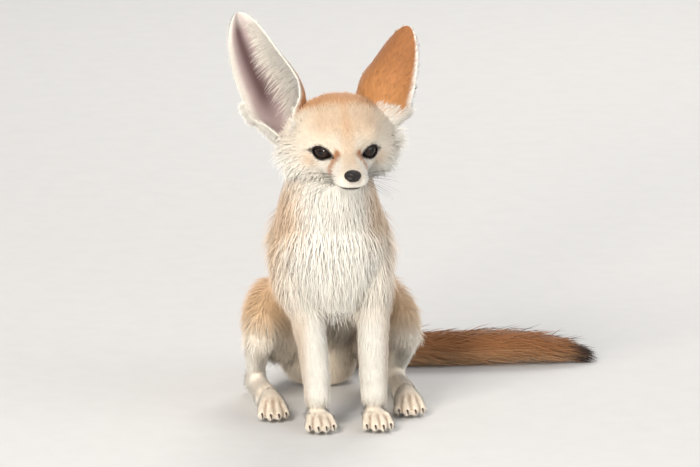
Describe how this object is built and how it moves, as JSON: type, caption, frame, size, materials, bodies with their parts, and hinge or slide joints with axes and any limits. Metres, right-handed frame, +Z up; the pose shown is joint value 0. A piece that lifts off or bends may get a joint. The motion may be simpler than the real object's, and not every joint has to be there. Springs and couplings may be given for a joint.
{
  "type": "fennec fox",
  "caption": "Adult fennec fox at life size, sitting upright on its haunches with forelegs straight, ears wide and tail laid along the floor.",
  "frame": {"origin": "on the floor, in the flat under the middle of the rump", "axes": "+Z up, the fox faces -Y, its left side is at +X"},
  "size_m": [0.2938, 0.2723, 0.2988],
  "materials": {
    "face_fur": "short dense cream fur, peach on the brow, rust streaks under the eyes",
    "cream_fur": "soft cream fur, sandier outside",
    "back_fur": "dense sand and orange fur, cream on chest and belly",
    "ear_skin": "short rust fur outside, bare pinkish skin and white fringe inside",
    "tail_fur": "long bushy rust-orange fur",
    "tail_tip_fur": "long brown-black fur",
    "eye": "very dark brown, wet and clear",
    "nose": "brown-black, fine pebbled, damp"
  },
  "bodies": {
    "root": {"head": "face_fur", "lower_jaw": "face_fur", "nose_pad": "nose", "eye_left": "eye", "eye_right": "eye", "ear_left": "ear_skin", "ear_right": "ear_skin", "neck": "cream_fur", "torso_front": "back_fur", "torso_rear": "back_fur", "upper_arm_left": "cream_fur", "upper_arm_right": "cream_fur", "forearm_left": "cream_fur", "forearm_right": "cream_fur", "forepaw_left": "cream_fur", "forepaw_right": "cream_fur", "thigh_left": "back_fur", "thigh_right": "back_fur", "shank_left": "cream_fur", "shank_right": "cream_fur", "hind_foot_left": "cream_fur", "hind_foot_right": "cream_fur", "tail_base": "tail_fur", "tail_middle": "tail_fur", "tail_tip": "tail_tip_fur"}
  },
  "joints": []
}
